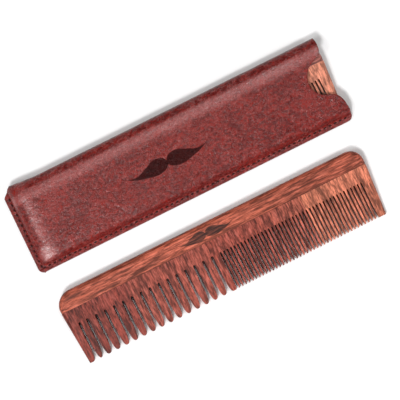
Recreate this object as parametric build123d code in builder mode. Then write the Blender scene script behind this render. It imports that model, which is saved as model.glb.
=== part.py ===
from build123d import *
from math import cos, radians, sin
import os

# A wooden beard comb, one in its folded leather sleeve and one lying in front of it.
# Both lie flat with their backs towards +Y and their teeth towards -Y.
# The sleeve's mouth faces +X. The whole group is centred on the origin and rests on z = 0.
# All dimensions are in millimetres.

# Comb outline. Depth is measured from the back of the comb towards the tooth tips.
comb_length = 180
back_thickness = 7.5
tip_thickness = 2.4
tip_depth_coarse = 39.9
tip_depth_fine = 38.8
blank_depth = 40.6
spine_depth = 10.25
corner_left = 9
corner_right = 7.5
left_slant = 2.3
right_slant = 2.2
spine_rounding = 3.0
end_tip_rounding = 1.1

# Comb teeth
slot_top_depth = 18
coarse_slots = 16
coarse_first = 6.7
coarse_second = 11.3
coarse_last = 85
coarse_pitch = (coarse_last - coarse_second) / (coarse_slots - 2)
coarse_slot_width = 1.4
coarse_taper = 6
fine_slots = 42
fine_first = 90.1
fine_pitch = 2.021
fine_slot_width = 0.95
fine_taper = 3

# The teeth are cut in four blocks of wood that meet at the middle of a slot
left_block_slots = 7
middle_fine_slots = 26

# V-shaped tongue that holds the tooth blocks in the spine
tongue_root = 2.8
tongue_tip = 1.4
tongue_length = 4.2
tongue_play = 0.05
tongue_setback = 0.6

# Sleeve. Drop is measured from the fold edge towards the stitched edge.
sleeve_length = 186
sleeve_height = 49.6
skin = 0.7
backing = 0.4
leather = skin + backing
crest_height = 10.1
crest_drop = 9.5
tip_bulge_height = 5.3
tip_fall = 2.0
fold_steps = 10
fold_pull_in = 1.5
pull_in_full = 26
bulge_start = 2.9
bulge_full = 8.5
cavity_start = 3.4
margin_low = 0.4
margin_high = margin_low + 2 * leather
seam_width = 2.7
corner_bevel_x = 5.4
corner_bevel_y = 4.7
seam_corner = 2.8

# Thumb notch in the mouth, an S curve between an upper and a lower lobe
notch_depth = 13.6
notch_drop = 24
upper_lobe = 5.6
upper_shoulder = 11.2
lower_shoulder = 34.6
lower_lobe = 42

# Stitching
stitch_inset = 2.2
stitch_pitch = 3.03
stitch_length = 1.7
stitch_width = 0.6
stitch_height = 0.3
stitch_slant = 8
stitch_end_gap = 3.4
stitch_bevel_gap = 1.2

# Layout
group_gap = 14.2
comb_shift = 0.7
inside_start = 5.5
inside_drop = 4.7
inside_lift = leather + 0.3
sleeve_left = -sleeve_length / 2
fold_y = (sleeve_height + group_gap + tip_depth_coarse) / 2
seam_y = fold_y - sleeve_height
free_place = Vector(sleeve_left + comb_shift, seam_y - group_gap, 0)
inside_place = Vector(sleeve_left + inside_start, fold_y - inside_drop, inside_lift)


def plan(place):
    """Plane seen from above."""
    return Plane(origin=place, x_dir=(1, 0, 0), z_dir=(0, 0, 1))


def cross_section(place):
    """Plane across the comb or sleeve, local x along +Y and local y up, facing +X."""
    return Plane(origin=place, x_dir=(0, 1, 0), z_dir=(1, 0, 0))


def cut_at_depth(place, depth):
    """Plane along the comb at a depth from its back, local y up, facing the tips."""
    return Plane(origin=place - Vector(0, depth, 0), x_dir=(1, 0, 0), z_dir=(0, -1, 0))


def thickness_at(depth):
    """The comb thins in a straight line from its back to its tips."""
    return back_thickness - (back_thickness - tip_thickness) * depth / tip_depth_coarse


def tip_depth_at(x):
    """The line of the tips runs slightly towards the back at the fine end."""
    return tip_depth_coarse - (tip_depth_coarse - tip_depth_fine) * x / comb_length


def coarse_centre(number):
    """The first slot is set a little closer to the second than the others are."""
    return coarse_first if number == 0 else coarse_second + coarse_pitch * (number - 1)


def fine_centre(number):
    return fine_first + fine_pitch * number


def tongue_outline(play):
    """V tongue across the comb, pointing into the spine, or its groove with some play."""
    middle = thickness_at(spine_depth) / 2
    root = tongue_root / 2 + play
    tip = tongue_tip / 2 + play
    with BuildSketch() as outline:
        with BuildLine():
            Polyline(
                (-spine_depth, middle - root),
                (-spine_depth + tongue_length + play, middle - tip),
                (-spine_depth + tongue_length + play, middle + tip),
                (-spine_depth, middle + root),
                close=True,
            )
        make_face()
    return outline.sketch


def make_spine(place):
    """The long strip along the back, with its grain lengthwise and a V groove below."""
    with BuildPart() as spine:
        with BuildSketch(plan(place)):
            with BuildLine():
                Line((corner_left, 0), (comb_length - corner_right, 0))
                RadiusArc(
                    (comb_length - corner_right, 0),
                    (comb_length, -corner_right),
                    corner_right,
                )
                Polyline(
                    (comb_length, -corner_right),
                    (comb_length, -spine_depth),
                    (0, -spine_depth),
                    (0, -corner_left),
                )
                RadiusArc((0, -corner_left), (corner_left, 0), corner_left)
            make_face()
        extrude(amount=back_thickness)
        # the upper face falls towards the teeth
        with BuildSketch(cross_section(place)):
            with BuildLine():
                Polyline(
                    (0, back_thickness),
                    (-spine_depth, thickness_at(spine_depth)),
                    (-spine_depth, back_thickness),
                    close=True,
                )
            make_face()
        extrude(amount=comb_length, mode=Mode.SUBTRACT)
        # every outer edge is well rounded, but not the edges at the joint
        joint_y = place.Y - spine_depth
        faces = spine.faces().filter_by(lambda face: abs(face.normal_at().Z) > 0.9)
        outline = faces.edges().filter_by(lambda edge: edge.center().Y > joint_y + 0.01)
        fillet(outline, radius=spine_rounding)
        with BuildSketch(cross_section(place)):
            add(tongue_outline(tongue_play))
        extrude(amount=comb_length, mode=Mode.SUBTRACT)
    return spine.part


def slot_outline(centre, slot_width, pitch, taper):
    """One slot seen from above: round at its top, opening out between rounded tips."""
    half = slot_width / 2
    tip = tip_depth_at(centre)
    with BuildSketch() as slot:
        with BuildLine():
            side = Line((centre + half, -slot_top_depth - half), (centre + half, taper - tip))
            Bezier(
                side @ 1,
                (centre + half + 0.04 * pitch, 0.3 * taper - tip),
                (centre + half + 0.12 * pitch, -tip),
                (centre + 0.5 * pitch, -tip),
            )
            Polyline(
                (centre + 0.5 * pitch, -tip),
                (centre + 0.5 * pitch, -blank_depth - 1),
                (centre, -blank_depth - 1),
                (centre, -slot_top_depth),
            )
            RadiusArc((centre, -slot_top_depth), side @ 0, half)
        make_face()
        mirror(about=Plane.YZ.offset(centre))
    return slot.sketch


def make_tooth_block(place, start, end, slots):
    """One block of teeth, cut across the comb, with its grain running along the teeth."""
    with BuildPart() as block:
        # the plate thins from the spine to the tips, and its ends are rounded all the way
        with BuildSketch(cut_at_depth(place, spine_depth)):
            with Locations((comb_length / 2, thickness_at(spine_depth) / 2)):
                RectangleRounded(comb_length, thickness_at(spine_depth), spine_rounding)
        with BuildSketch(cut_at_depth(place, blank_depth)):
            with Locations(((comb_length + left_slant - right_slant) / 2, tip_thickness / 2)):
                tip_length = comb_length - left_slant - right_slant
                RectangleRounded(tip_length, thickness_at(blank_depth), end_tip_rounding)
        loft(ruled=True)
        with BuildSketch(plan(place)):
            with Locations(((start + end) / 2, -spine_depth - blank_depth / 2)):
                Rectangle(end - start, blank_depth)
        extrude(amount=back_thickness, mode=Mode.INTERSECT)
        with BuildSketch(plan(place)):
            with BuildLine():
                Polyline(
                    (start, -tip_depth_at(start)),
                    (end, -tip_depth_at(end)),
                    (end, -blank_depth - 1),
                    (start, -blank_depth - 1),
                    close=True,
                )
            make_face()
            for slot in slots:
                add(slot_outline(*slot))
        extrude(amount=back_thickness, mode=Mode.SUBTRACT)
        # V tongue in the spine's groove
        low_end = max(start, tongue_setback)
        high_end = min(end, comb_length - tongue_setback)
        with BuildSketch(cross_section(place + Vector(low_end, 0, 0))):
            add(tongue_outline(0))
        extrude(amount=high_end - low_end)
    return block.part


def make_comb(prefix, place):
    """The five glued pieces of one comb, named with its prefix."""
    slots = [
        (coarse_centre(number), coarse_slot_width, coarse_pitch, coarse_taper)
        for number in range(coarse_slots)
    ]
    slots += [
        (fine_centre(number), fine_slot_width, fine_pitch, fine_taper)
        for number in range(fine_slots)
    ]
    # neighbouring blocks share the slot that they meet in
    first_shared = left_block_slots - 1
    second_shared = coarse_slots - 1
    third_shared = coarse_slots + middle_fine_slots - 1
    first_cut, second_cut, third_cut = (
        slots[shared][0] for shared in (first_shared, second_shared, third_shared)
    )
    finished = {
        "spine": make_spine(place),
        "end_coarse_teeth": make_tooth_block(place, 0, first_cut, slots[: first_shared + 1]),
        "coarse_teeth": make_tooth_block(
            place, first_cut, second_cut, slots[first_shared: second_shared + 1]
        ),
        "fine_teeth": make_tooth_block(
            place, second_cut, third_cut, slots[second_shared: third_shared + 1]
        ),
        "end_fine_teeth": make_tooth_block(place, third_cut, comb_length, slots[third_shared:]),
    }
    return {f"{prefix}_{name}": piece for name, piece in finished.items()}


def pull_in(x):
    """How far the fold edge is drawn in where the bulge takes up the leather's width."""
    share = min(max((x - corner_bevel_x) / (pull_in_full - corner_bevel_x), 0), 1)
    return fold_pull_in * share * (2 - share)


def opening_up(x):
    """0 where the end seam presses the leather flat, 1 where it is fully over the comb."""
    share = min(max((x - bulge_start) / (bulge_full - bulge_start), 0), 1)
    return share * (2 - share)


def sleeve_section(x, inset):
    """Ring of points across the sleeve, x from its stitched end, inset from its surface."""
    rise = opening_up(x)
    low_flat = margin_low + inset
    high_flat = margin_high - inset
    low = low_flat - margin_low * rise
    crest = high_flat + (crest_height - margin_high) * rise
    near_tips = high_flat + (tip_bulge_height - margin_high) * rise
    nose = pull_in(x) + inset * (3 - 2 * rise)
    seam = sleeve_height - seam_width
    points = []
    # the fold, half an ellipse from below round to the crest
    for step in range(fold_steps + 1):
        angle = radians(180 * step / fold_steps - 90)
        drop = crest_drop - (crest_drop - nose) * cos(angle)
        points.append((-drop, (low + crest) / 2 + (crest - low) / 2 * sin(angle)))
    points.append((tip_fall - seam, near_tips))
    if inset < leather:
        # the margin runs past the cut edge, and is trimmed by the outline
        beyond = sleeve_height + 1
        points += [
            (-seam, high_flat),
            (-beyond, high_flat),
            (-beyond, low_flat),
            (-seam, low_flat),
        ]
    else:
        points.append((-seam, high_flat))
    points.append((tip_fall - seam, low))
    return points


def sleeve_body(inset, first):
    """Solid inside the sleeve's outer surface, inset by a depth, from its first station."""
    rising = [bulge_start + (bulge_full - bulge_start) * share for share in (0.25, 0.5, 0.75, 1)]
    stations = [*first, *rising, pull_in_full / 2, pull_in_full, sleeve_length + 1]
    with BuildPart() as body:
        for x in stations:
            with BuildSketch(cross_section(Vector(sleeve_left + x, fold_y, 0))):
                with BuildLine():
                    Polyline(sleeve_section(x, inset), close=True)
                make_face()
        loft(ruled=True)
    return body.part


def sleeve_outline():
    """The sleeve seen from above, with its bevelled corner and the thumb notch."""
    mouth = sleeve_length
    with BuildSketch(plan(Vector(sleeve_left, fold_y, 0))) as outline:
        with BuildLine():
            Polyline(
                (mouth - 0.6, 0),
                (corner_bevel_x, 0),
                (0, -corner_bevel_y),
                (0, seam_corner - sleeve_height),
            )
            RadiusArc((0, seam_corner - sleeve_height), (seam_corner, -sleeve_height), -seam_corner)
            Line((seam_corner, -sleeve_height), (mouth - seam_corner, -sleeve_height))
            RadiusArc(
                (mouth - seam_corner, -sleeve_height),
                (mouth, seam_corner - sleeve_height),
                -seam_corner,
            )
            Line((mouth, seam_corner - sleeve_height), (mouth, -lower_lobe))
            Spline(
                (mouth, -lower_lobe),
                (mouth - 0.2 * notch_depth, -lower_shoulder),
                (mouth - 0.75 * notch_depth, -(lower_shoulder + notch_drop) / 2 - 1.6),
                (mouth - notch_depth, -notch_drop),
                (mouth - 0.75 * notch_depth, -(upper_shoulder + notch_drop) / 2 + 1.8),
                (mouth - 0.15 * notch_depth, -upper_shoulder),
                (mouth - 0.4, -upper_lobe),
                (mouth - 0.6, 0),
                tangents=((0, 1), (0, 1)),
            )
        make_face()
    return outline.sketch


def trimmed_shell(outer, inner):
    """What lies between two bodies of the sleeve, cut to its outline."""
    with BuildPart() as shell:
        add(outer)
        add(inner, mode=Mode.SUBTRACT)
        with BuildSketch(plan(Vector(0, 0, -1))):
            add(sleeve_outline())
        extrude(amount=crest_height + 2, mode=Mode.INTERSECT)
    return shell.part


def make_stitches(height):
    """One face of the lockstitch along the long edge and the closed end."""
    long_row = sleeve_length - 2 * stitch_end_gap
    end_row = sleeve_height - stitch_end_gap - corner_bevel_y - stitch_bevel_gap
    row_left = sleeve_left + stitch_end_gap
    row_bottom = seam_y + stitch_end_gap
    with BuildPart() as stitches:
        with BuildSketch(plan(Vector(0, 0, height))):
            for number in range(int(long_row / stitch_pitch) + 1):
                with Locations((row_left + number * stitch_pitch, seam_y + stitch_inset)):
                    SlotOverall(stitch_length, stitch_width, rotation=stitch_slant)
            for number in range(int(end_row / stitch_pitch) + 1):
                with Locations((sleeve_left + stitch_inset, row_bottom + number * stitch_pitch)):
                    SlotOverall(stitch_length, stitch_width, rotation=90 + stitch_slant)
        extrude(amount=stitch_height)
    return stitches.part


def make_sleeve():
    """Folded leather with its bonded backing, and the two faces of its stitching."""
    outer = sleeve_body(0, [-1, bulge_start])
    between = sleeve_body(skin, [-1, bulge_start])
    cavity = sleeve_body(leather, [cavity_start])
    return {
        "sleeve_leather": trimmed_shell(outer, between),
        "sleeve_backing": trimmed_shell(between, cavity),
        "sleeve_upper_stitches": make_stitches(margin_high),
        "sleeve_lower_stitches": make_stitches(margin_low - stitch_height),
    }


os.makedirs("parts", exist_ok=True)
pieces = make_sleeve()
pieces.update(make_comb("sleeved", inside_place))
pieces.update(make_comb("comb", free_place))
for name, piece in pieces.items():
    piece.label = name
    export_step(piece, f"parts/{name}.step")
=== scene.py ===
import bpy
from math import cos, pi, radians, sin, sqrt
from mathutils import Matrix, Vector, noise


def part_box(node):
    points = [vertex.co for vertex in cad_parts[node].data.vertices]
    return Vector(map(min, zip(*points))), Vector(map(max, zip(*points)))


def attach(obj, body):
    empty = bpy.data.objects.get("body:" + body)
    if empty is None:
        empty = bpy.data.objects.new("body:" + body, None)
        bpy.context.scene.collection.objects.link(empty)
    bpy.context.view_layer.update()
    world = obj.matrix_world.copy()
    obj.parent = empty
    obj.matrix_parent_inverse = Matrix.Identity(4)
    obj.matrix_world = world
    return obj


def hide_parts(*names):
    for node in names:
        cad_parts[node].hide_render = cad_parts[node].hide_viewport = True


# A wooden beard comb in front of a folded leather sleeve that holds a second one.
# Everything is in metres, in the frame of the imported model.

MM = 0.001

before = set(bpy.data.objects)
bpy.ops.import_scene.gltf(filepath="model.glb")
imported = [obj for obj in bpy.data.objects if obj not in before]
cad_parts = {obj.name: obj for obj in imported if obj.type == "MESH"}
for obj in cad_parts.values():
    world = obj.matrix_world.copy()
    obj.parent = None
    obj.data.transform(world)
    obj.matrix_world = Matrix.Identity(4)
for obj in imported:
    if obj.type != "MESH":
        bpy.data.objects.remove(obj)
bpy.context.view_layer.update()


# ---------------------------------------------------------------- camera and light

CAMERA_DISTANCE = 0.8
CAMERA_LEAN = radians(4.5)          # towards the comb in front
CAMERA_ROLL = radians(26.5)         # the comb's length rises to the right by this much
CAMERA_AIM = Vector((0.5, -0.3, 4.0)) * MM
VIEW_WIDTH = 0.2125
SENSOR_WIDTH = 36.0
LIGHT_DISTANCE = 2.5
SOFTBOXES = (                       # name, azimuth, elevation, size and power at one metre
    ("key", 228, 55, (0.2, 0.2), 6.6),
    ("left", 186, 55, (0.25, 0.25), 2.6),
    ("right", 325, 30, (0.55, 0.55), 3.15),
    ("back", 50, 72, (0.3, 0.14), 2.2),
)
SKY_STRENGTH = 0.1
FLOOR_HALF = 5.0
FLOOR_GAP = 0.1 * MM                # keeps the table clear of the pieces that lie on it
FLOOR_COLOUR = (0.93, 0.93, 0.93, 1)


def add_camera():
    """Looks almost straight down, with the comb's length running up to the right."""
    data = bpy.data.cameras.new("camera")
    data.sensor_width = SENSOR_WIDTH
    data.lens = SENSOR_WIDTH * CAMERA_DISTANCE / VIEW_WIDTH
    data.clip_start = 0.01
    camera = bpy.data.objects.new("camera", data)
    bpy.context.collection.objects.link(camera)
    towards_camera = Vector((0, -sin(CAMERA_LEAN), cos(CAMERA_LEAN)))
    right = Vector((cos(CAMERA_ROLL), -sin(CAMERA_ROLL), 0))
    right = (right - right.dot(towards_camera) * towards_camera).normalized()
    up = towards_camera.cross(right)
    turn = Matrix((right, up, towards_camera)).transposed().to_4x4()
    stand = CAMERA_AIM + CAMERA_DISTANCE * towards_camera
    camera.matrix_world = Matrix.Translation(stand) @ turn
    bpy.context.scene.camera = camera


def add_softbox(name, azimuth, elevation, size, power):
    """A soft light that faces the object. Azimuth 0 is +X, and 90 is +Y.

    size and power are what would look the same from one metre away.
    """
    data = bpy.data.lights.new(name, "AREA")
    data.shape = "RECTANGLE"
    data.size, data.size_y = (LIGHT_DISTANCE * side for side in size)
    data.energy = power * LIGHT_DISTANCE ** 2
    light = bpy.data.objects.new(name, data)
    bpy.context.collection.objects.link(light)
    across, rise = radians(azimuth), radians(elevation)
    away = Vector((cos(across) * cos(rise), sin(across) * cos(rise), sin(rise)))
    light.location = LIGHT_DISTANCE * away
    light.rotation_euler = away.to_track_quat("Z", "Y").to_euler()


def add_studio():
    """A plain white table under four soft lights and a dim white sky."""
    mesh = bpy.data.meshes.new("floor")
    corners = [(FLOOR_HALF * x, FLOOR_HALF * y, 0) for x, y in ((-1, -1), (1, -1), (1, 1), (-1, 1))]
    mesh.from_pydata(corners, [], [(0, 1, 2, 3)])
    floor = bpy.data.objects.new("floor", mesh)
    floor.location.z = -FLOOR_GAP
    bpy.context.collection.objects.link(floor)
    paper = bpy.data.materials.new("white_table")
    paper.use_nodes = True
    shader = paper.node_tree.nodes["Principled BSDF"]
    shader.inputs["Base Color"].default_value = FLOOR_COLOUR
    shader.inputs["Roughness"].default_value = 0.9
    shader.inputs["Specular IOR Level"].default_value = 0.1
    mesh.materials.append(paper)

    world = bpy.data.worlds.new("studio")
    world.use_nodes = True
    background = world.node_tree.nodes["Background"]
    background.inputs["Color"].default_value = (1, 1, 1, 1)
    background.inputs["Strength"].default_value = SKY_STRENGTH
    bpy.context.scene.world = world

    for softbox in SOFTBOXES:
        add_softbox(*softbox)
    bpy.context.scene.view_settings.view_transform = "Standard"


# ---------------------------------------------------------------- material building

class Graph:
    """Short ways to add shader nodes to one material."""

    def __init__(self, name):
        self.material = bpy.data.materials.new(name)
        self.material.use_nodes = True
        self.tree = self.material.node_tree
        self.shader = self.tree.nodes["Principled BSDF"]
        self.position = self.tree.nodes.new("ShaderNodeTexCoord").outputs["Object"]

    def node(self, kind, inputs=None, **settings):
        made = self.tree.nodes.new("ShaderNode" + kind)
        for key, value in settings.items():
            setattr(made, key, value)
        for key, value in (inputs or {}).items():
            self.put(made.inputs[key], value)
        return made

    def put(self, socket, value):
        if isinstance(value, bpy.types.NodeSocket):
            self.tree.links.new(value, socket)
        else:
            socket.default_value = value

    def stretched(self, scale, offset=(0, 0, 0), vector=None):
        start = self.position if vector is None else vector
        inputs = {"Vector": start, "Scale": scale, "Location": offset}
        return self.node("Mapping", inputs).outputs[0]

    def noise(self, vector, scale=1, detail=2, roughness=0.5, distortion=0):
        return self.node(
            "TexNoise",
            {
                "Vector": vector,
                "Scale": scale,
                "Detail": detail,
                "Roughness": roughness,
                "Distortion": distortion,
            },
        ).outputs["Fac"]

    def math(self, operation, first, second=0):
        return self.node("Math", {0: first, 1: second}, operation=operation).outputs[0]

    def total(self, *terms):
        """The sum of every value times its share. Terms are (value, share)."""
        scaled = [self.math("MULTIPLY", value, share) for value, share in terms]
        added = scaled[0]
        for value in scaled[1:]:
            added = self.math("ADD", added, value)
        return added

    def distance_from(self, value, centre):
        return self.math("ABSOLUTE", self.math("SUBTRACT", value, centre))

    def between(self, value, low, high, to_low=0, to_high=1):
        """Maps low..high smoothly to to_low..to_high, and holds the ends."""
        return self.node(
            "MapRange",
            {
                "Value": value,
                "From Min": low,
                "From Max": high,
                "To Min": to_low,
                "To Max": to_high,
            },
            interpolation_type="SMOOTHSTEP",
        ).outputs[0]

    def ramp(self, factor, stops):
        made = self.node("ValToRGB", {"Fac": factor})
        while len(made.color_ramp.elements) < len(stops):
            made.color_ramp.elements.new(0.5)
        for element, (position, colour) in zip(made.color_ramp.elements, stops):
            element.position = position
            element.color = (*colour, 1)
        return made.outputs["Color"]

    def mix(self, factor, first, second, blend="MIX"):
        made = self.node("Mix", data_type="RGBA", blend_type=blend)
        self.put(made.inputs["Factor"], factor)
        for socket, value in ((made.inputs[6], first), (made.inputs[7], second)):
            self.put(socket, (*value, 1) if isinstance(value, tuple) else value)
        return made.outputs[2]

    def bump(self, height, distance, strength=1):
        inputs = {"Height": height, "Distance": distance, "Strength": strength}
        return self.node("Bump", inputs).outputs[0]

    def finish(self, **sockets):
        """Sets the shader's sockets, with _ for a space in a name, and gives the material."""
        for key, value in sockets.items():
            self.put(self.shader.inputs[key.replace("_", " ")], value)
        return self.material


MOUSTACHE_TOP = ((0, 0.62), (0.2, 0.93), (0.45, 0.72), (0.72, 0.5), (1, 0.82))
MOUSTACHE_BOTTOM = ((0, 0.38), (0.22, 0.1), (0.5, 0.2), (0.8, 0.45), (1, 0.82))
MOUSTACHE_SOFTNESS = 0.03


def moustache_mask(graph, centre, width, height):
    """1 inside a plain moustache shape on the upper face, and 0 outside it."""
    parts = graph.node("SeparateXYZ", {0: graph.position}).outputs
    across = graph.math("SUBTRACT", parts[0], centre[0])
    along = graph.math("DIVIDE", graph.math("ABSOLUTE", across), width / 2)
    level = graph.math("DIVIDE", graph.math("SUBTRACT", parts[1], centre[1]), height)

    def edge(points):
        made = graph.node("FloatCurve", {"Value": along})
        curve = made.mapping.curves[0]
        for x, y in points[1:-1]:
            curve.points.new(x, y)
        curve.points[0].location = points[0]
        curve.points[-1].location = points[-1]
        made.mapping.update()
        return graph.math("SUBTRACT", made.outputs[0], 0.5)

    top, bottom = edge(MOUSTACHE_TOP), edge(MOUSTACHE_BOTTOM)
    soft = MOUSTACHE_SOFTNESS
    under_top = graph.between(graph.math("SUBTRACT", top, level), -soft, soft)
    over_bottom = graph.between(graph.math("SUBTRACT", level, bottom), -soft, soft)
    faces_up = graph.between(parts[2], 2 * MM, 2.5 * MM)
    inside = graph.math("MULTIPLY", under_top, over_bottom)
    ends = graph.between(along, 1.0, 0.98)
    return graph.math("MULTIPLY", graph.math("MULTIPLY", inside, ends), faces_up)


# ---------------------------------------------------------------- wood

SCORCHED = (0.030, 0.012, 0.009)
FADE_SHIFT = 15 * MM                # how far, on average, the fibres shift a change of tint


def wood(name, tint, grain, seed, streaks=0.5, mark=None, joint=None, fade=None):
    """Oiled red wood. grain is the axis that the fibres follow, "x" or "y".

    streaks is how strong the pale and dark flecks are, mark a burnt motif, joint a glue
    line at one y, and fade a change of tint along x as (start, end, factors).
    """
    graph = Graph(name)
    parts = graph.node("SeparateXYZ", {0: graph.position}).outputs

    def along(lengthwise, crosswise):
        if grain == "x":
            return (lengthwise, crosswise, crosswise)
        return (crosswise, lengthwise, crosswise)

    def shade(share):
        return tuple(min(1, share * c) for c in tint)

    offset = (seed * 0.37, seed * 0.61, seed * 0.13)
    bands = graph.noise(graph.stretched(along(14, 170), offset), detail=3, distortion=0.3)
    fibres = graph.noise(graph.stretched(along(60, 520), offset), detail=4, roughness=0.6)
    flecks = graph.noise(graph.stretched(along(110, 860), offset), detail=3, roughness=0.65)
    threads = graph.noise(graph.stretched(along(28, 2100), offset), detail=2)
    cells = graph.noise(graph.stretched(along(300, 2600), offset), detail=2)
    tone = graph.total((bands, 0.3), (fibres, 0.3), (flecks, 0.4))
    colour = graph.ramp(tone, [(0.41, shade(0.38)), (0.5, shade(1)), (0.59, shade(1.65))])
    if fade:
        start, end, factors = fade
        ragged = graph.math("ADD", parts[0], graph.math("MULTIPLY", fibres, 2 * FADE_SHIFT))
        amount = graph.between(ragged, start + FADE_SHIFT, end + FADE_SHIFT)
        colour = graph.mix(amount, colour, graph.mix(1.0, colour, factors, "MULTIPLY"))
    pale = graph.between(flecks, 0.53, 0.63, 0, streaks)
    colour = graph.mix(pale, colour, tuple(min(1, 1.6 * c + 0.03) for c in tint))
    deep = graph.between(flecks, 0.39, 0.48, 1.2 * streaks, 0)
    colour = graph.mix(deep, colour, shade(0.36))
    pores = graph.between(cells, 0.58, 0.68)
    colour = graph.mix(graph.math("MULTIPLY", pores, 0.7), colour, shade(0.25))
    shading = graph.between(threads, 0.32, 0.68, 0.74, 1.24)
    shaded = graph.node("VectorMath", {0: colour, "Scale": shading}, operation="SCALE")
    colour = shaded.outputs[0]
    if joint is not None:
        line = graph.between(parts[1], joint + 0.1 * MM, joint + 0.45 * MM, 0.75, 0)
        colour = graph.mix(line, colour, shade(0.2))
    height = graph.math("SUBTRACT", graph.math("MULTIPLY", threads, 0.7), pores)
    if mark:
        burnt = moustache_mask(graph, *mark)
        scorch = graph.math("MULTIPLY", burnt, graph.between(flecks, 0.35, 0.65, 0.97, 0.75))
        colour = graph.mix(scorch, colour, SCORCHED)
        height = graph.math("SUBTRACT", height, graph.math("MULTIPLY", burnt, 1.2))
    normal = graph.bump(height, 0.07 * MM, 0.8)
    roughness = graph.between(fibres, 0.3, 0.7, 0.44, 0.58)
    graph.shader.inputs["Specular IOR Level"].default_value = 0.2
    return graph.finish(Base_Color=colour, Roughness=roughness, Normal=normal)


def finish_comb(prefix, seed, woods):
    """Gives the five pieces of one comb their woods."""
    for number, (piece, settings) in enumerate(woods.items()):
        name = f"{prefix}_{piece}"
        grain = "x" if piece == "spine" else "y"
        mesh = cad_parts[name].data
        mesh.materials.clear()
        mesh.materials.append(wood(name, grain=grain, seed=seed + number, **settings))


# ---------------------------------------------------------------- sleeve

# Lengths here are in millimetres. Drop is measured from the fold edge towards the stitched
# edge, and run from the stitched end. PANEL and NOTCH are (place, value) points of curves.
SLEEVE_LENGTH = 186.0
SLEEVE_HEIGHT = 49.6
SKIN = 0.7
LINING = 0.38
LINING_GAP = 0.01
SKIN_COLUMNS = 250
LINING_COLUMNS = 150
PANEL_ROWS = 70
FOLD_ROWS = 26
WAVE_HEIGHT = 0.22
WRINKLE_HEIGHT = 0.1
PUCKER_HEIGHT = 0.16
STITCH_DENT = 0.14
MOUTH_LIFT = 0.35
FOLD_RIPPLE = 0.12
CREST_HEIGHT = 10.1
CREST_DROP = 9.5
MARGIN_LOW = 0.4
MARGIN_HIGH = 2.6
SEAM_WIDTH = 2.7
PANEL = ((0, 0), (2, 0.37), (6, 0.53), (15, 0.67), (25, 0.83), (33, 0.955), (37.4, 1))
END_SEAM = 2.9
END_RISE = 9.0
FOLD_PULL_IN = 1.5
PULL_IN_FULL = 26.0
BEVEL_RUN = 5.4
BEVEL_DROP = 4.7
CORNER = 2.8
NOTCH = (
    (0, 0.6), (5.6, 0.4), (11.2, 2.0), (15.8, 10.2), (24, 13.6),
    (30.9, 10.2), (34.6, 2.7), (42, 0), (SLEEVE_HEIGHT, 0),
)
STITCH_INSET = 2.2
STITCH_PITCH = 3.03
STITCH_LENGTH = 1.9
STITCH_RADIUS = 0.44
STITCH_SLANT = radians(10)
STITCH_END_GAP = 3.4
STITCH_BEVEL_GAP = 1.2
STITCH_BOW = 0.3                    # how far a bar's middle stands above its ends
STITCH_SINK = 0.18                  # how far its ends lie in the leather
LOWER_BOW = 0.4                     # the share of the bow on the face that lies on the table
LOWER_LIFT = 0.06
THREAD_FLATNESS = 0.75
THREAD_END = 0.35                   # the share of its radius that a bar keeps at its ends
SLEEVE_MARK = (-6.0 * MM, 25.0 * MM)    # the middle of the printed motif, in metres

sleeve_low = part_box("sleeve_leather")[0]
SLEEVE_LEFT = sleeve_low.x / MM
FOLD_Y = sleeve_low.y / MM + SLEEVE_HEIGHT


def clamp(value, low=0.0, high=1.0):
    return min(max(value, low), high)


def smooth(value):
    value = clamp(value)
    return value * value * (3 - 2 * value)


def through(points, at):
    """A smooth curve through points given as (place, value), read at one place."""
    last = len(points) - 1
    index = 0
    while index < last - 1 and at > points[index + 1][0]:
        index += 1
    (x0, y0), (x1, y1) = points[index], points[index + 1]

    def slope(n):
        if n in (0, last):
            return 0
        (xa, ya), (xb, yb) = points[n - 1], points[n + 1]
        return (yb - ya) / (xb - xa)

    span = x1 - x0
    t = clamp((at - x0) / span)
    return (
        y0 * (1 + 2 * t) * (1 - t) ** 2
        + y1 * t * t * (3 - 2 * t)
        + span * (slope(index) * t * (1 - t) ** 2 - slope(index + 1) * t * t * (1 - t))
    )


def corner_round(from_edge):
    """How far a rounded corner draws the end in, this far from the seam's cut edge."""
    into = clamp(CORNER - from_edge, 0, CORNER)
    return CORNER - sqrt(CORNER ** 2 - into ** 2)


def closed_end(drop):
    """Where a row of the sleeve starts: at the bevel, the straight end or the corner."""
    bevel = BEVEL_RUN * clamp(1 - drop / BEVEL_DROP)
    return bevel + corner_round(SLEEVE_HEIGHT - drop)


def mouth_end(drop):
    """Where a row of the sleeve ends, round the thumb notch and its two lobes."""
    return SLEEVE_LENGTH - through(NOTCH, drop) - corner_round(SLEEVE_HEIGHT - drop)


def pull_in(run):
    share = clamp((run - BEVEL_RUN) / (PULL_IN_FULL - BEVEL_RUN))
    return FOLD_PULL_IN * share * (2 - share)


def arch(share):
    """A quarter ellipse, from 0 with a steep start to 1 with a level end."""
    share = clamp(share)
    return sqrt(share * (2 - share))


def end_rise(run):
    """0 where the end seam holds the leather flat, 1 where it lies over the comb."""
    return arch((run - END_SEAM) / END_RISE)


def seam_rise(drop):
    """The same from the stitched edge, over the tips and up to the crest at the comb's back."""
    return through(PANEL, SLEEVE_HEIGHT - SEAM_WIDTH - drop)


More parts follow.
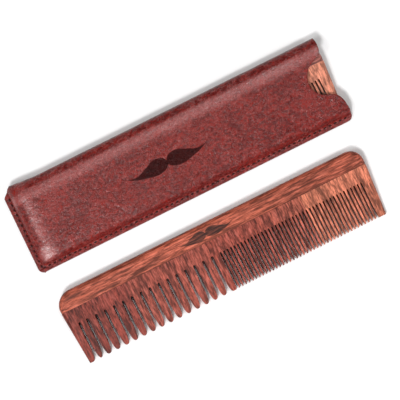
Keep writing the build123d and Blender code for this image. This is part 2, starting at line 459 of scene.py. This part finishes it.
def unevenness(run, drop):
    """Soft waves, folds that start at the seams, and a dent along each row of stitches."""
    broad = noise.noise(Vector((run / 31, drop / 17, 3.1)))
    fine = noise.noise(Vector((run / 9, drop / 6, 8.7)))
    from_seam = SLEEVE_HEIGHT - SEAM_WIDTH - drop
    from_end = run - END_SEAM
    inside = smooth(from_seam / 6) * smooth(from_end / 6)
    height = inside * (WAVE_HEIGHT * abs(broad) + WRINKLE_HEIGHT * abs(fine))
    for distance, place in ((from_seam, run), (from_end, drop)):
        fade = smooth(distance / 0.8) * (1 - smooth((distance - 1) / 6))
        pucker = noise.noise(Vector((place / STITCH_PITCH, distance / 9, 5.0)))
        height += PUCKER_HEIGHT * fade * (0.5 + pucker)
    for distance in (SLEEVE_HEIGHT - drop, run):
        height -= STITCH_DENT * (1 - smooth(abs(distance - STITCH_INSET) / 0.75))
    lift = smooth((run - 0.9 * SLEEVE_LENGTH) / (0.1 * SLEEVE_LENGTH))
    return height + MOUTH_LIFT * lift * inside


def upper_height(run, drop):
    risen = end_rise(run) * seam_rise(drop)
    return MARGIN_HIGH + risen * (CREST_HEIGHT - MARGIN_HIGH) + unevenness(run, drop)


def lower_height(run, drop):
    from_seam = SLEEVE_HEIGHT - SEAM_WIDTH - drop
    return MARGIN_LOW * (1 - smooth(from_seam / 3) * smooth((run - END_SEAM) / 3))


def ring():
    """Rows of the sleeve from the upper seam over the fold to the lower seam.

    Each row is (drop, angle round the fold or None, side: 1 upper, -1 lower, 0 the fold).
    """
    panel = []
    for step in range(PANEL_ROWS + 1):
        share = step / PANEL_ROWS
        spread = 0.3 * share + 0.7 * share * share * (1.5 - 0.5 * share)
        panel.append(SLEEVE_HEIGHT - (SLEEVE_HEIGHT - CREST_DROP) * spread)
    fold = [pi / 2 - pi * step / FOLD_ROWS for step in range(1, FOLD_ROWS)]
    rows = [(drop, None, 1) for drop in panel]
    rows += [(CREST_DROP * (1 - cos(angle)), angle, 0) for angle in fold]
    rows += [(drop, None, -1) for drop in reversed(panel)]
    return rows


def sleeve_point(run, row, inset):
    """One point of the sleeve's surface, inset from its outside, in millimetres."""
    drop, angle, side = row
    if side > 0:
        return run, drop, upper_height(run, drop) - inset
    if side < 0:
        return run, drop, lower_height(run, drop) + inset
    crest = upper_height(run, CREST_DROP) - inset
    low = lower_height(run, CREST_DROP) + inset
    nose = pull_in(run) + inset
    ripple = FOLD_RIPPLE * noise.noise(Vector((run / 14, 2.3, 6.1))) * smooth(run / 20)
    across = (CREST_DROP - nose - ripple) * cos(angle)
    return run, CREST_DROP - across, (crest + low) / 2 + (crest - low) / 2 * sin(angle)


def sleeve_shell(name, inset, thickness, columns):
    """A folded sheet with real thickness, as one mesh."""
    rows = ring()
    points, faces = [], []
    for row in rows:
        start, end = closed_end(row[0]), mouth_end(row[0])
        for column in range(columns + 1):
            share = column / columns
            spread = share - 0.5 * share * (1 - share) ** 3
            run, drop, height = sleeve_point(start + (end - start) * spread, row, inset)
            points.append(((SLEEVE_LEFT + run) * MM, (FOLD_Y - drop) * MM, height * MM))
    wide = columns + 1
    for r in range(len(rows) - 1):
        for c in range(columns):
            first = r * wide + c
            faces.append((first, first + 1, first + wide + 1, first + wide))
    mesh = bpy.data.meshes.new(name)
    mesh.from_pydata(points, [], faces)
    mesh.shade_smooth()
    shell = bpy.data.objects.new(name, mesh)
    bpy.context.collection.objects.link(shell)
    solid = shell.modifiers.new("thickness", "SOLIDIFY")
    solid.thickness = thickness * MM
    solid.offset = -1
    solid.material_offset_rim = 1
    apply_modifiers(shell)
    return shell


def apply_modifiers(piece):
    """Writes the result of a piece's modifiers into its mesh."""
    evaluated = piece.evaluated_get(bpy.context.evaluated_depsgraph_get())
    mesh = bpy.data.meshes.new_from_object(evaluated)
    piece.modifiers.clear()
    piece.data = mesh


CORNER_CENTRE = (8.5, 42)           # run and drop of the bulge's corner


def shine_and_painted_highlight_band(graph):
    """1 over the comb's back, end and corner, where the leather gets more shine, less grain and a
    painted highlight.
    """
    x, y, z = graph.node("SeparateXYZ", {0: graph.position}).outputs
    drop = graph.math("SUBTRACT", FOLD_Y * MM, y)
    run = graph.math("SUBTRACT", x, SLEEVE_LEFT * MM)
    back = graph.math(
        "MULTIPLY",
        graph.between(drop, 5.5 * MM, 8.5 * MM),
        graph.between(drop, 9.5 * MM, 15 * MM, 1, 0),
    )
    end = graph.math(
        "MULTIPLY",
        graph.between(run, 7 * MM, 10 * MM),
        graph.between(run, 11 * MM, 17 * MM, 0.65, 0),
    )
    corner_run, corner_drop = CORNER_CENTRE
    corner = graph.math(
        "MULTIPLY",
        graph.between(graph.distance_from(run, corner_run * MM), 1 * MM, 7 * MM, 1.3, 0),
        graph.between(graph.distance_from(drop, corner_drop * MM), 1 * MM, 7 * MM, 1, 0),
    )
    shine_and_highlight = graph.math("MAXIMUM", graph.math("MAXIMUM", back, end), corner)
    return graph.math("MULTIPLY", shine_and_highlight, graph.between(z, 3.2 * MM, 5.5 * MM))


LEATHER_TONES = (
    (0.42, (0.105, 0.006, 0.005)),
    (0.5, (0.185, 0.011, 0.008)),
    (0.58, (0.27, 0.020, 0.015)),
)
# painted shade: the valleys between the grain's pebbles are darkened
PAINTED_VALLEY_SHADE = (0.07, 0.006, 0.006)
# painted highlight: thin light lines along the wrinkles
PAINTED_RIDGE_HIGHLIGHT = (0.46, 0.13, 0.115)
# painted highlight: a lighter band over the comb's back, end and corner
LEATHER_PAINTED_HIGHLIGHT = (0.42, 0.125, 0.118)
PRINT_INK = (0.018, 0.004, 0.004)
CUT_EDGE_TONES = ((0.15, 0.055, 0.05), (0.27, 0.12, 0.11))
LINING_TONES = ((0.17, 0.115, 0.105), (0.30, 0.21, 0.195))
THREAD_TONES = ((0.2, (0.012, 0.004, 0.004)), (0.8, (0.045, 0.011, 0.010)))


def leather(name, mark):
    """Dark red coated leather with a fine wrinkled grain, a printed motif, painted shade in the
    grain's valleys and painted highlights on its wrinkles and over the comb's back, end and corner.
    """
    graph = Graph(name)
    swirl = graph.node("TexNoise", {"Vector": graph.position, "Scale": 420.0, "Detail": 2.0})
    drift = graph.node(
        "VectorMath", {0: swirl.outputs["Color"], "Scale": 1.6 * MM}, operation="SCALE"
    )
    warped = graph.node(
        "VectorMath", {0: graph.position, 1: drift.outputs[0]}, operation="ADD"
    ).outputs[0]
    cells = graph.node(
        "TexVoronoi", {"Vector": warped, "Scale": 1050.0}, feature="DISTANCE_TO_EDGE"
    ).outputs["Distance"]
    pebbles = graph.between(cells, 0.0, 0.28)
    area = graph.noise(graph.position, 75, 2)
    crossed = graph.stretched((430, 640, 500), vector=warped)
    creases = graph.noise(crossed, detail=3, roughness=0.6)
    cloud = graph.noise(graph.position, 42, 3, 0.6)
    colour = graph.ramp(graph.total((creases, 0.75), (cloud, 0.25)), LEATHER_TONES)
    # painted shade in the valleys between the pebbles
    colour = graph.mix(graph.between(pebbles, 0, 1, 0.4, 0), colour, PAINTED_VALLEY_SHADE)
    web = graph.distance_from(graph.noise(warped, 370, 3, 0.5), 0.5)
    depth = graph.between(area, 0.35, 0.65, 0.5, 1)
    ridges = graph.math("MULTIPLY", graph.between(web, 0.0, 0.04, 1, 0), depth)
    # painted highlight along the wrinkle ridges
    colour = graph.mix(graph.math("MULTIPLY", ridges, 0.34), colour, PAINTED_RIDGE_HIGHLIGHT)
    # more shine, less grain and a painted highlight over the comb's back, end and corner
    shine_and_highlight = shine_and_painted_highlight_band(graph)
    painted_highlight = graph.math("MULTIPLY", shine_and_highlight, graph.between(ridges, 0, 0.9, 0.32, 0.66))
    colour = graph.mix(painted_highlight, colour, LEATHER_PAINTED_HIGHLIGHT)
    printed = moustache_mask(graph, *mark)
    faded = graph.between(creases, 0.35, 0.65, 0.8, 0.96)
    colour = graph.mix(graph.math("MULTIPLY", printed, faded), colour, PRINT_INK)
    height = graph.total((pebbles, 0.16), (creases, 1.7), (ridges, 0.6))
    height = graph.math("MULTIPLY", height, graph.between(shine_and_highlight, 0, 1, 1, 0.6))
    normal = graph.bump(graph.math("MULTIPLY", height, depth), 0.35 * MM)
    roughness = graph.between(pebbles, 0, 1, 0.34, 0.2)
    specular = graph.between(printed, 0, 1, 0.34, 0.06)
    specular = graph.math("ADD", specular, graph.math("MULTIPLY", shine_and_highlight, 0.3))
    return graph.finish(
        Base_Color=colour, Roughness=roughness, Normal=normal, Specular_IOR_Level=specular
    )


def cloth(name, dark, light):
    """Short brushed cloth, as on the back of coated leather and on its cut edges."""
    graph = Graph(name)
    fuzz = graph.noise(graph.position, 2400, 3, 0.7)
    cloud = graph.noise(graph.position, 220, 2, 0.5)
    colour = graph.ramp(graph.total((fuzz, 0.6), (cloud, 0.4)), [(0.35, dark), (0.65, light)])
    normal = graph.bump(fuzz, 0.12 * MM, 0.8)
    graph.shader.inputs["Roughness"].default_value = 0.9
    graph.shader.inputs["Specular IOR Level"].default_value = 0.2
    graph.shader.inputs["Sheen Weight"].default_value = 0.3
    return graph.finish(Base_Color=colour, Normal=normal)


def waxed_thread(name):
    """Dark twisted thread."""
    graph = Graph(name)
    strands = graph.node(
        "TexWave",
        {"Vector": graph.position, "Scale": 900.0, "Distortion": 1.5},
        bands_direction="DIAGONAL",
    ).outputs["Fac"]
    colour = graph.ramp(strands, THREAD_TONES)
    normal = graph.bump(strands, 0.05 * MM, 0.8)
    graph.shader.inputs["Roughness"].default_value = 0.7
    graph.shader.inputs["Specular IOR Level"].default_value = 0.2
    return graph.finish(Base_Color=colour, Normal=normal)


def stitch_places():
    """(run, drop, direction) of every stitch: along the long edge, then the closed end."""
    long_count = int((SLEEVE_LENGTH - 2 * STITCH_END_GAP) / STITCH_PITCH) + 1
    end_row = SLEEVE_HEIGHT - STITCH_END_GAP - BEVEL_DROP - STITCH_BEVEL_GAP
    end_count = int(end_row / STITCH_PITCH) + 1
    places = [
        (STITCH_END_GAP + n * STITCH_PITCH, SLEEVE_HEIGHT - STITCH_INSET, STITCH_SLANT)
        for n in range(long_count)
    ]
    places += [
        (STITCH_INSET, SLEEVE_HEIGHT - STITCH_END_GAP - n * STITCH_PITCH, pi / 2 + STITCH_SLANT)
        for n in range(end_count)
    ]
    return places


def stitch_row(name, side):
    """Every stitch that shows on one face, each a short arched bar of thread."""
    bow_steps, around = 8, 8
    points, faces = [], []
    for run, drop, direction in stitch_places():
        first = len(points)
        for step in range(bow_steps + 1):
            share = step / bow_steps
            offset = (share - 0.5) * STITCH_LENGTH
            thin = STITCH_RADIUS * (THREAD_END + (1 - THREAD_END) * sin(pi * share) ** 0.5)
            lift = STITCH_BOW * sin(pi * share) - STITCH_SINK
            if side > 0:
                middle = upper_height(run, drop) + lift
            else:
                middle = lower_height(run, drop) - LOWER_BOW * lift + LOWER_LIFT
            for n in range(around):
                turn = 2 * pi * n / around
                aside, up = thin * cos(turn), THREAD_FLATNESS * thin * sin(turn)
                x = SLEEVE_LEFT + run + offset * cos(direction) - aside * sin(direction)
                y = FOLD_Y - drop + offset * sin(direction) + aside * cos(direction)
                points.append((x * MM, y * MM, (middle + up) * MM))
        for step in range(bow_steps):
            for n in range(around):
                a = first + step * around + n
                b = first + step * around + (n + 1) % around
                faces.append((a, b, b + around, a + around))
        faces.append(tuple(first + n for n in reversed(range(around))))
        faces.append(tuple(first + bow_steps * around + n for n in range(around)))
    mesh = bpy.data.meshes.new(name)
    mesh.from_pydata(points, [], faces)
    mesh.shade_smooth()
    row = bpy.data.objects.new(name, mesh)
    bpy.context.collection.objects.link(row)
    return row


def place(piece, body, slot, *nodes):
    """Attaches a piece to the body it moves with and hides the CAD nodes it replaces; slot is not
    used.
    """
    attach(piece, body)
    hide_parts(*nodes)


def make_sleeve():
    """The leather skin, the cloth inside it and the thread on both faces."""
    skin = sleeve_shell("folded_leather", 0, SKIN, SKIN_COLUMNS)
    skin.data.materials.append(leather("sleeve_leather", (SLEEVE_MARK, 53 * MM, 10 * MM)))
    skin.data.materials.append(cloth("cut_edge", *CUT_EDGE_TONES))
    place(skin, "sleeve", "leather", "sleeve_leather")
    lining = sleeve_shell("cloth_backing", SKIN + LINING_GAP, LINING, LINING_COLUMNS)
    lining.data.materials.append(cloth("sleeve_lining", *LINING_TONES))
    place(lining, "sleeve", "leather_backing", "sleeve_backing")
    thread = waxed_thread("thread")
    for name, side, node in (
        ("upper_thread", 1, "sleeve_upper_stitches"),
        ("lower_thread", -1, "sleeve_lower_stitches"),
    ):
        row = stitch_row(name, side)
        row.data.materials.append(thread)
        place(row, "sleeve", "thread", node)


add_camera()
add_studio()

comb_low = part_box("comb_spine")[0]
COMB_MARK = (comb_low.x + 87.3 * MM, comb_low.y + 4.2 * MM)
finish_comb(
    "comb",
    1,
    {
        "spine": {
            "tint": (0.355, 0.080, 0.045),
            "streaks": 0.6,
            "mark": (COMB_MARK, 36 * MM, 6.4 * MM),
            "joint": comb_low.y,
        },
        "end_coarse_teeth": {"tint": (0.190, 0.035, 0.024), "streaks": 0.4},
        "coarse_teeth": {"tint": (0.28, 0.060, 0.040), "streaks": 0.45},
        "fine_teeth": {
            "tint": (0.26, 0.051, 0.033),
            "streaks": 0.65,
            "fade": (comb_low.x + 112 * MM, comb_low.x + 140 * MM, (1.5, 1.9, 1.8)),
        },
        "end_fine_teeth": {"tint": (0.475, 0.142, 0.082), "streaks": 0.3},
    },
)
finish_comb(
    "sleeved",
    9,
    {
        "spine": {"tint": (0.26, 0.09, 0.075), "streaks": 0.4},
        "end_coarse_teeth": {"tint": (0.30, 0.080, 0.055), "streaks": 0.4},
        "coarse_teeth": {"tint": (0.32, 0.082, 0.056), "streaks": 0.4},
        "fine_teeth": {"tint": (0.36, 0.095, 0.062), "streaks": 0.4},
        "end_fine_teeth": {"tint": (0.60, 0.22, 0.14), "streaks": 0.25},
    },
)

make_sleeve()
